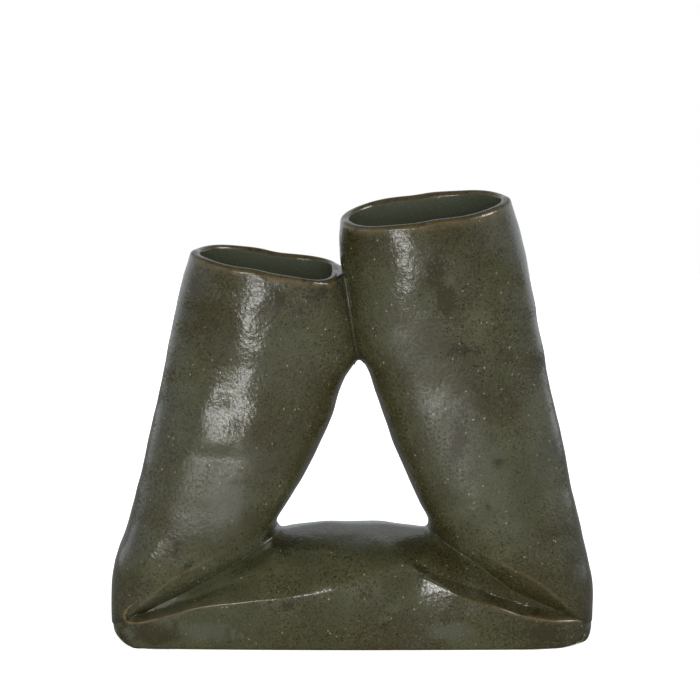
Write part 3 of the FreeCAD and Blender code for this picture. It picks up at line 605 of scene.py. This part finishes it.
def make_fold_bead(side):
    """The slip in a fold: a bead along the bottom of the crease, drawn in under the skin
    where no crease shows. In the right crease it stands a little proud."""
    radius, proud = (1.05, 1.5) if side == "right" else (0.85, 0.4)
    half = fold_curve(side, np.linspace(0, 2, 220))
    share = (half[:, 0] - half[0, 0]) / (half[-1, 0] - half[0, 0])
    shown = smooth_step((share - CREASE[side]["pinch"]) / 0.1) * smooth_step((1 - share) / 0.1)
    depth = 1.6 - shown * proud
    ring = mirrored(half)
    path = shrink(ring, ring.mean(axis=0), np.concatenate((depth, depth[-2:0:-1]))[:, None])
    return make_bead(f"{side}_fold_bead", path, np.full(len(path), radius))


def make_lip_bead():
    """The rolled lip: a bead along the skin that returns below it, inside the clay."""
    lip = spline(np.linspace(0, 1, len(LIP_BEAD)), LIP_BEAD, np.linspace(0, 1, 90))
    below = lip[::-1] + np.array((2.0, 3.5, 0.0, 0.0))
    loop = np.concatenate((lip, below))
    return make_bead("left_lip_bead", loop[:, :3], np.clip(loop[:, 3], 0.05, 1.0), edge=1.0)


def neck_line(side, off, count=60):
    """The front line on which an arm's skin stands `off` from the seam's plane, from the
    lowest point at the window's top to the rim, as half depths y and heights z."""
    stations = STATIONS[side]
    steps = np.linspace(6, len(stations) - 1, 1500)
    ox, oz, ix, iz, depth, _, square = spline(np.arange(len(stations)), stations, steps).T
    share = (seam_x(oz) - SIGN[side] * off - ox) / (ix - ox + (iz - oz) * SEAM_LEAN)
    touches = share < 1
    along = np.clip(2 * share - 1, 0, 1)
    y = np.where(touches, depth * (1 - along**square) ** (1 / square), 0)
    z = oz + (iz - oz) * share
    first = np.argmax(touches)
    heights = z[first] + (NECK_TOP - z[first]) * np.linspace(0, 1, count) ** 2
    y = np.interp(heights, z[first:], y[first:])
    y[0] = 0
    return y, heights


def make_neck_fillet():
    """The slip at the neck: it fills the groove round the patch in which the arms touch.
    Across, it is a hollow curve from one arm's skin to the other's; its core is inside."""
    reach, touch, core = 2.4, 0.1, 2.2
    on_left, on_right = neck_line("left", reach), neck_line("right", reach)
    (left_y, left_z), (right_y, right_z) = neck_line("left", touch), neck_line("right", touch)
    in_groove = np.minimum(left_y, right_y), (left_z + right_z) / 2
    lines = []
    for (y, z), off in ((on_left, -reach), (in_groove, 0.0), (on_right, reach)):
        front = np.stack((seam_x(z) + off, -y, z), axis=-1)
        top = np.linspace(front[-1], front[-1] * (1, -1, 1), 9)[1:-1]
        lines.append(np.concatenate((front, top, front[:0:-1] * (1, -1, 1)))[:, None])
    left, deep, right = lines
    t = np.linspace(0, 1, 11)[None, :, None]
    outer = left * (1 - t) ** 2 + deep * 2 * t * (1 - t) + right * t * t
    centre = np.array((seam_x(NECK_MIDDLE), 0.0, NECK_MIDDLE))
    inner = shrink(np.concatenate((right, deep, left), axis=1), centre, core)
    rings = np.concatenate((outer, inner), axis=1)
    # Darker at the neck: pooled glaze and painted shade between the arms.
    return ring_object("neck_fillet", rings, {"pooled_glaze_and_shade": np.full(rings.shape[:2], 0.5)})


class VaseSettings(PropertyGroup):
    """The sizes and colours that a user would change."""

    wall: FloatProperty(
        name="Wall", description="Thickness of the clay", default=0.005, unit="LENGTH"
    )
    green: FloatVectorProperty(
        name="Glaze", description="The glaze where it is thick",
        default=(0.050, 0.050, 0.0245), subtype="COLOR",
    )
    brown: FloatVectorProperty(
        name="Break", description="The glaze where it is thin",
        default=(0.0335, 0.0270, 0.0086), subtype="COLOR",
    )
    clay: FloatVectorProperty(
        name="Clay", description="The bare clay of the foot",
        default=(0.44, 0.33, 0.21), subtype="COLOR",
    )


def add_node(tree, kind, inputs=None, **choices):
    """Adds a node and returns it. Its inputs, by name or number, are values or the outputs
    of other nodes; its choices are its own settings, such as a math node's operation."""
    made = tree.nodes.new(kind)
    for name, choice in choices.items():
        setattr(made, name, choice)
    for key, value in (inputs or {}).items():
        if isinstance(value, NodeSocket):
            tree.links.new(value, made.inputs[key])
        else:
            made.inputs[key].default_value = value
    return made


def add_math(tree, operation, first, second):
    """The result of a math node on two values or outputs."""
    return add_node(tree, "ShaderNodeMath", {0: first, 1: second}, operation=operation).outputs[0]


def add_range(tree, value, low, high, to_low=0.0, to_high=1.0, interpolation="SMOOTHSTEP"):
    """A rise from to_low to to_high as the value goes from low to high."""
    inputs = {
        "Value": value, "From Min": low, "From Max": high, "To Min": to_low, "To Max": to_high,
    }
    kind = "ShaderNodeMapRange"
    return add_node(tree, kind, inputs, interpolation_type=interpolation).outputs["Result"]


def glaze_material(settings):
    """The reactive glaze: grey-green stippled with brown, freckled with cream, brown where
    it breaks over an edge, darker in the creases with pooled glaze and painted shade, a
    lighter grey for painted highlights, and lightened inside as painted light. The foot's
    edge is bare."""
    found = bpy.data.materials.get("reactive_glaze")
    if found:
        return found
    material = bpy.data.materials.new("reactive_glaze")
    material.use_nodes = True
    tree = material.node_tree
    shader = tree.nodes["Principled BSDF"]
    place = add_node(tree, "ShaderNodeTexCoord").outputs["Object"]

    def noise(scale, detail=2.0, roughness=0.5, distortion=0.0):
        return add_node(tree, "ShaderNodeTexNoise", {
            "Vector": place, "Scale": scale, "Detail": detail, "Roughness": roughness,
            "Distortion": distortion,
        }).outputs["Fac"]

    def ramp(value, low, high):
        return add_range(tree, value, low, high)

    def plus(first, second):
        return add_math(tree, "ADD", first, second)

    def times(first, second):
        return add_math(tree, "MULTIPLY", first, second)

    def mixed(share, first, second):
        first, second = (
            (*color, 1.0) if isinstance(color, tuple) else color for color in (first, second)
        )
        inputs = {0: share, 6: first, 7: second}
        return add_node(tree, "ShaderNodeMix", inputs, data_type="RGBA").outputs[2]

    def attribute(name):
        return add_node(tree, "ShaderNodeAttribute", attribute_name=name).outputs["Fac"]

    def tone(color, factor):
        return tuple(min(1.0, part * factor) for part in color)

    green, brown, clay = (tuple(c) for c in (settings.green, settings.brown, settings.clay))
    stipple = noise(780.0, 2.0, 0.65)
    grain = plus(stipple, -0.5)
    # Broad clouds decide where the brown comes through; fine stipple breaks their edges.
    clouds = plus(noise(17.0, 3.0, 0.6, 0.5), times(grain, 1.15))
    spots = plus(noise(52.0, 2.0, 0.5, 0.3), times(grain, 0.16))
    cells = add_node(tree, "ShaderNodeTexVoronoi", {"Vector": place, "Scale": 300.0})
    chosen = ramp(noise(410.0, 0.0), 0.56, 0.62)
    freckles = times(ramp(cells.outputs["Distance"], 0.17, 0.08), chosen)
    # Coarse grain breaks the outlines of the marks, and of the edges' brown.
    speckle = times(plus(grain, plus(noise(110.0, 3.0, 0.6), -0.5)), 1.5)
    broken_edge = times(attribute("edge"), ramp(noise(260.0, 3.0, 0.7), 0.30, 0.56))
    bare = add_math(tree, "GREATER_THAN", attribute("bare"), 0.5)
    # The layers, from below: where each shows, how much it covers, and its colour.
    layers = (
        (ramp(clouds, 0.46, 0.61), 0.85, brown),
        (ramp(spots, 0.66, 0.70), 0.6, tone(brown, 0.42)),
        (ramp(noise(1050.0, 1.0), 0.57, 0.67), 0.75, tone(brown, 0.42)),
        (freckles, 0.85, CREAM),
        (ramp(plus(attribute("thin"), speckle), 0.35, 0.65), 0.8, tone(brown, 0.75)),
        # Painted highlights: a lighter grey on the thick marks, where the lamps and floor shine.
        (ramp(plus(attribute("thick"), speckle), 0.35, 0.85), 0.55, PAINTED_HIGHLIGHT_GREY),
        (broken_edge, 0.9, RIM_BROWN),
        # Pooled glaze and painted shade: darker in the creases and at the neck.
        (attribute("pooled_glaze_and_shade"), 0.6, POOL_AND_SHADE_BLACK),
        # The inside's glaze, lightened as painted light.
        (attribute("inside"), 0.88, INSIDE_GLAZE_AND_PAINTED_LIGHT),
        (bare, 1.0, clay),
    )
    color = mixed(ramp(noise(48.0, 3.0, 0.6), 0.35, 0.7), green, tone(green, 1.35))
    for share, cover, layer in layers:
        color = mixed(times(share, cover), color, layer)
    tree.links.new(color, shader.inputs["Base Color"])
    # The gloss varies in patches and is less on the stipple, on dull marks and on clay.
    rough = plus(times(noise(40.0, 2.0), 0.12), 0.10)
    rough = plus(rough, times(ramp(stipple, 0.5, 0.68), 0.14))
    rough = plus(rough, times(attribute("dull"), 0.32))
    rough = plus(rough, times(bare, 0.6))
    tree.links.new(rough, shader.inputs["Roughness"])
    pits = plus(noise(520.0, 2.0, 0.55), times(noise(210.0, 1.0), 0.8))
    peel = add_node(tree, "ShaderNodeBump", {"Strength": 0.32, "Distance": 0.0005, "Height": pits})
    tree.links.new(peel.outputs["Normal"], shader.inputs["Normal"])
    shader.inputs["IOR"].default_value = 1.55
    return material


def finish_piece(made, settings, slot, *nodes):
    """Gives a piece its glaze and its body, and hides the CAD nodes that it stands for.
    The slot is not used.
    """
    made.data.materials.append(glaze_material(settings))
    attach(made, BODY)
    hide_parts(*nodes)


class MakeBase(Operator):
    """Makes the base pillow and its floor"""

    bl_idname = "vase.make_base"
    bl_label = "Base pillow"

    def execute(self, context):
        settings = context.scene.vase_settings
        finish_piece(make_base(settings), settings, "glaze", "base_pillow", "floor_slab")
        return {"FINISHED"}


class MakeArms(Operator):
    """Makes the two leaning arms"""

    bl_idname = "vase.make_arms"
    bl_label = "Arms"

    def execute(self, context):
        settings = context.scene.vase_settings
        for side in ("left", "right"):
            finish_piece(make_arm(side, settings), settings, "glaze", f"{side}_arm")
        return {"FINISHED"}


class MakeSlip(Operator):
    """Makes the beads of slip in the folds and at the neck"""

    bl_idname = "vase.make_slip"
    bl_label = "Slip beads"

    def execute(self, context):
        settings = context.scene.vase_settings
        for side in ("left", "right"):
            finish_piece(make_fold_bead(side), settings, "slip", f"{side}_fold_slip")
        finish_piece(make_lip_bead(), settings, "slip", "left_fold_slip")
        finish_piece(make_neck_fillet(), settings, "slip", "neck_slip")
        return {"FINISHED"}


def add_lamp(name, place, target, width, height, watts, gives):
    """A soft box that faces its target and that the camera doesn't see."""
    data = bpy.data.lights.new(name, "AREA")
    data.shape = "RECTANGLE"
    data.size, data.size_y = width, height
    data.energy = watts
    lamp = bpy.data.objects.new(name, data)
    lamp.location = place
    lamp.rotation_euler = (Vector(target) - Vector(place)).to_track_quat("-Z", "Y").to_euler()
    lamp.visible_camera = False
    lamp.visible_diffuse = gives != "shine"
    lamp.visible_glossy = gives != "body"
    bpy.context.scene.collection.objects.link(lamp)


def add_floor():
    """A wide sheet under the vase."""
    mesh = bpy.data.meshes.new("floor")
    mesh.from_pydata(
        [
            (-FLOOR_SIDE, -FLOOR_SIDE, 0), (FLOOR_SIDE, -FLOOR_SIDE, 0),
            (FLOOR_SIDE, FLOOR_BACK, 0), (-FLOOR_SIDE, FLOOR_BACK, 0),
        ],
        [],
        [(0, 1, 2, 3)],
    )
    mesh.materials.append(floor_material())
    floor = bpy.data.objects.new("floor", mesh)
    bpy.context.scene.collection.objects.link(floor)


def add_camera():
    """The camera in front of the vase, at the photograph's angle above level."""
    data = bpy.data.cameras.new("camera")
    data.lens = CAMERA_LENS
    data.sensor_width = 36.0
    data.clip_end = 50.0
    camera = bpy.data.objects.new("camera", data)
    way = Vector((0.0, -math.cos(CAMERA_LIFT), math.sin(CAMERA_LIFT))) * CAMERA_DISTANCE
    camera.location = CAMERA_TARGET + way
    camera.rotation_euler = (-way).to_track_quat("-Z", "Y").to_euler()
    bpy.context.scene.collection.objects.link(camera)
    bpy.context.scene.camera = camera


class MakeStage(Operator):
    """Makes the floor, the lamps, the world and the camera"""

    bl_idname = "vase.make_stage"
    bl_label = "Stage"

    def execute(self, context):
        context.scene.view_settings.view_transform = "Standard"
        add_floor()
        fill_world()
        for name, values in LAMPS.items():
            add_lamp(name, *values)
        add_camera()
        return {"FINISHED"}


def floor_material():
    """A pale floor. It glows a little for the camera, so that open floor is white and the
    vase's shadow stays; the glaze sees it darker than it is, as in the photograph."""
    material = bpy.data.materials.new("pale_floor")
    material.use_nodes = True
    tree = material.node_tree
    tree.nodes.clear()
    ray = add_node(tree, "ShaderNodeLightPath").outputs
    pale, dim = (
        add_node(tree, "ShaderNodeBsdfDiffuse", {"Color": (level, level, level, 1)}).outputs[0]
        for level in (0.8, 0.34)
    )
    glow = add_node(tree, "ShaderNodeEmission", {"Strength": 0.88}).outputs[0]
    lit = add_node(tree, "ShaderNodeAddShader", {0: pale, 1: glow}).outputs[0]
    inputs = {0: ray["Is Glossy Ray"], 1: pale, 2: dim}
    unseen = add_node(tree, "ShaderNodeMixShader", inputs).outputs[0]
    inputs = {0: ray["Is Camera Ray"], 1: unseen, 2: lit}
    seen = add_node(tree, "ShaderNodeMixShader", inputs).outputs[0]
    add_node(tree, "ShaderNodeOutputMaterial", {"Surface": seen})
    return material


def fill_world():
    """The camera sees the world as white. It lights the vase softly: dark behind the
    camera, pale at the sides and, low down, behind the vase, as in a white studio."""
    world = bpy.data.worlds.new("studio")
    bpy.context.scene.world = world
    world.use_nodes = True
    tree = world.node_tree
    tree.nodes.clear()
    way = add_node(tree, "ShaderNodeTexCoord").outputs["Generated"]
    parts = add_node(tree, "ShaderNodeSeparateXYZ", {0: way}).outputs
    sides = add_range(tree, add_math(tree, "ABSOLUTE", parts["X"], 0.0), 0.35, 0.95, 0.03, 0.60)
    behind = add_range(tree, parts["Y"], 0.1, 0.9, 0.03, 0.80)
    low = add_range(tree, parts["Z"], 0.08, 0.5, 1.0, 0.4, "LINEAR")
    strength = add_math(tree, "ADD", sides, add_math(tree, "MULTIPLY", behind, low))
    soft, white = (
        add_node(tree, "ShaderNodeBackground", {"Color": color, "Strength": level}).outputs[0]
        for color, level in (((0.9, 0.95, 1.0, 1), strength), ((1, 1, 1, 1), 1.0))
    )
    camera_ray = add_node(tree, "ShaderNodeLightPath").outputs["Is Camera Ray"]
    seen = add_node(tree, "ShaderNodeMixShader", {0: camera_ray, 1: soft, 2: white}).outputs[0]
    add_node(tree, "ShaderNodeOutputWorld", {"Surface": seen})


class VasePanel(Panel):
    """Lists the vase's sizes and pieces"""

    bl_idname = "VIEW3D_PT_vase"
    bl_label = "Pillow vase"
    bl_space_type = "VIEW_3D"
    bl_region_type = "UI"
    bl_category = "Vase"

    def draw(self, context):
        for name in ("wall", "green", "brown", "clay"):
            self.layout.prop(context.scene.vase_settings, name)
        for operator in OPERATORS:
            self.layout.operator(operator.bl_idname)


OPERATORS = (MakeBase, MakeArms, MakeSlip, MakeStage)
CLASSES = (VaseSettings, *OPERATORS, VasePanel)


def register():
    for item in CLASSES:
        bpy.utils.register_class(item)
    bpy.types.Scene.vase_settings = PointerProperty(type=VaseSettings)


def unregister():
    del bpy.types.Scene.vase_settings
    for item in reversed(CLASSES):
        bpy.utils.unregister_class(item)


def main():
    register()
    bpy.ops.vase.make_base()
    bpy.ops.vase.make_arms()
    bpy.ops.vase.make_slip()
    bpy.ops.vase.make_stage()


if __name__ == "__main__":
    main()
